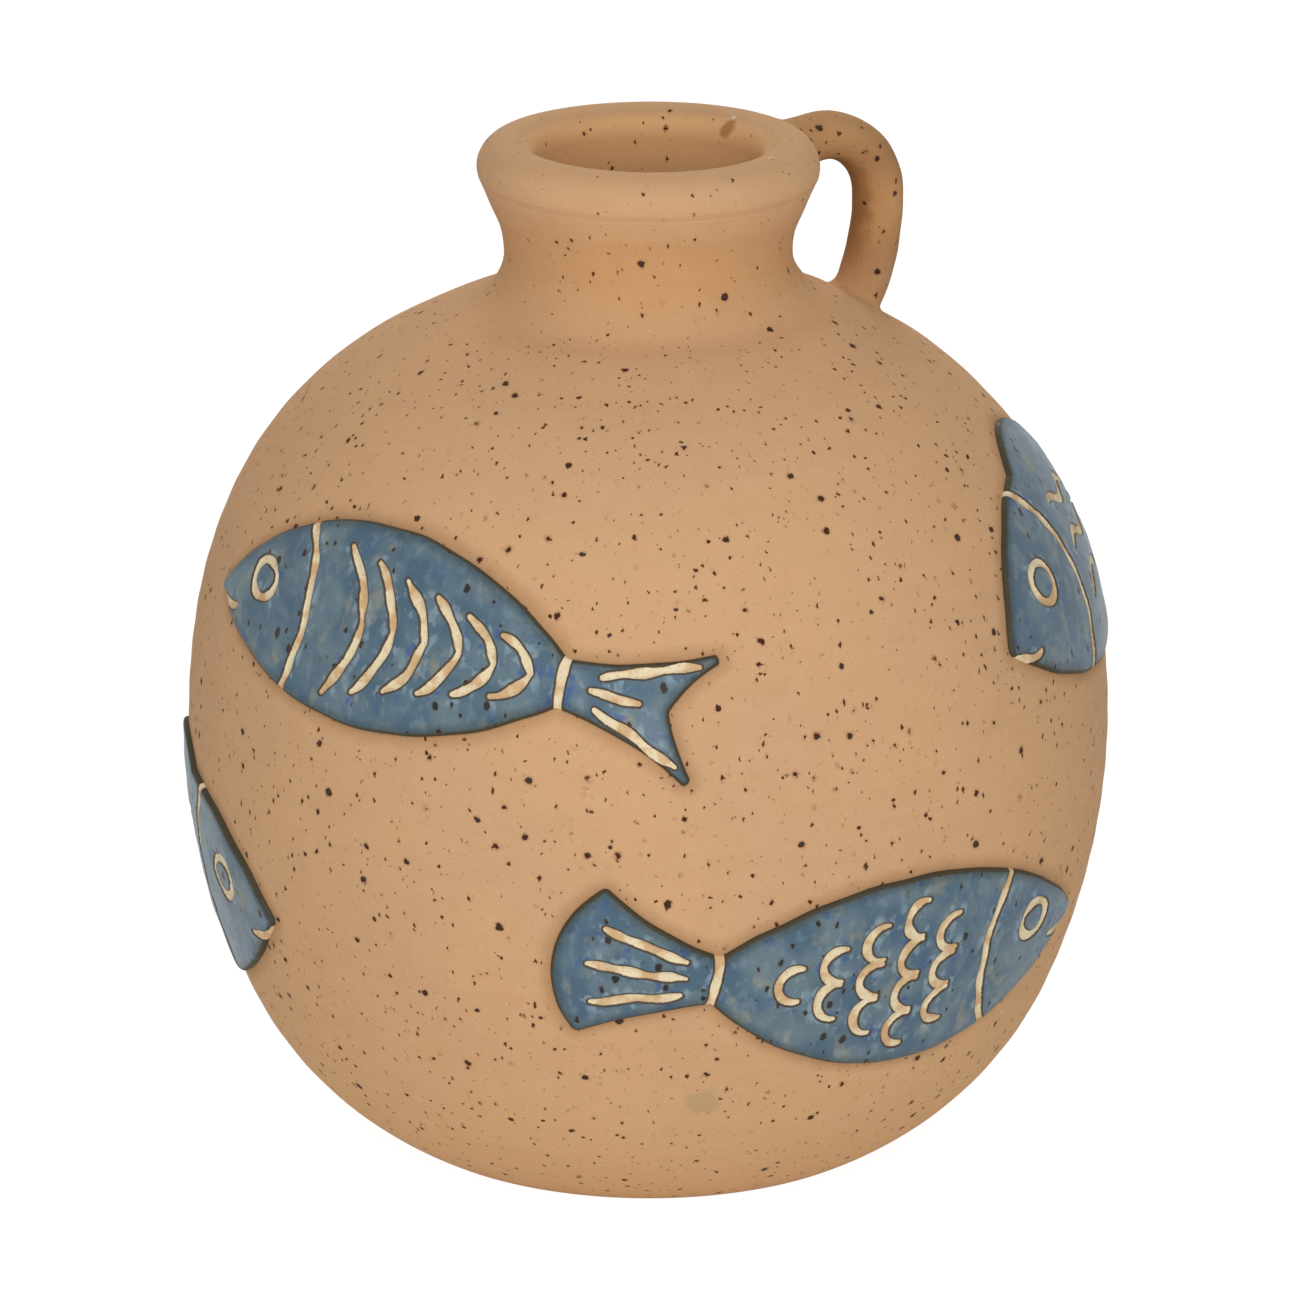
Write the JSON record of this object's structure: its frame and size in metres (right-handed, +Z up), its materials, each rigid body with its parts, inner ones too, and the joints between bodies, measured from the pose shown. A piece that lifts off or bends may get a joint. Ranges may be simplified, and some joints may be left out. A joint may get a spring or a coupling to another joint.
{
  "type": "round stoneware jug with a ring handle",
  "caption": "Round-bellied unglazed stoneware jug with a rolled open mouth, a small ring handle at the neck and flat glazed fish in relief.",
  "frame": {"origin": "centre of the foot's face, on the turning axis", "axes": "+Z up the turning axis and out of the mouth, +X towards the handle"},
  "size_m": [0.2005, 0.201, 0.2211],
  "materials": {
    "speckled_clay": "matt bare stoneware, sandy, with iron specks",
    "blue_glaze": "satin slate-blue glaze with dark edges and cream cut lines"
  },
  "bodies": {
    "root": {"vessel_body": "speckled_clay", "neck_collar": "speckled_clay", "rolled_rim": "speckled_clay", "handle": "speckled_clay", "fish_upper_left": "blue_glaze", "fish_upper_right": "blue_glaze", "fish_upper_back": "blue_glaze", "fish_lower_right": "blue_glaze", "fish_lower_back": "blue_glaze", "fish_lower_left": "blue_glaze"}
  },
  "joints": []
}
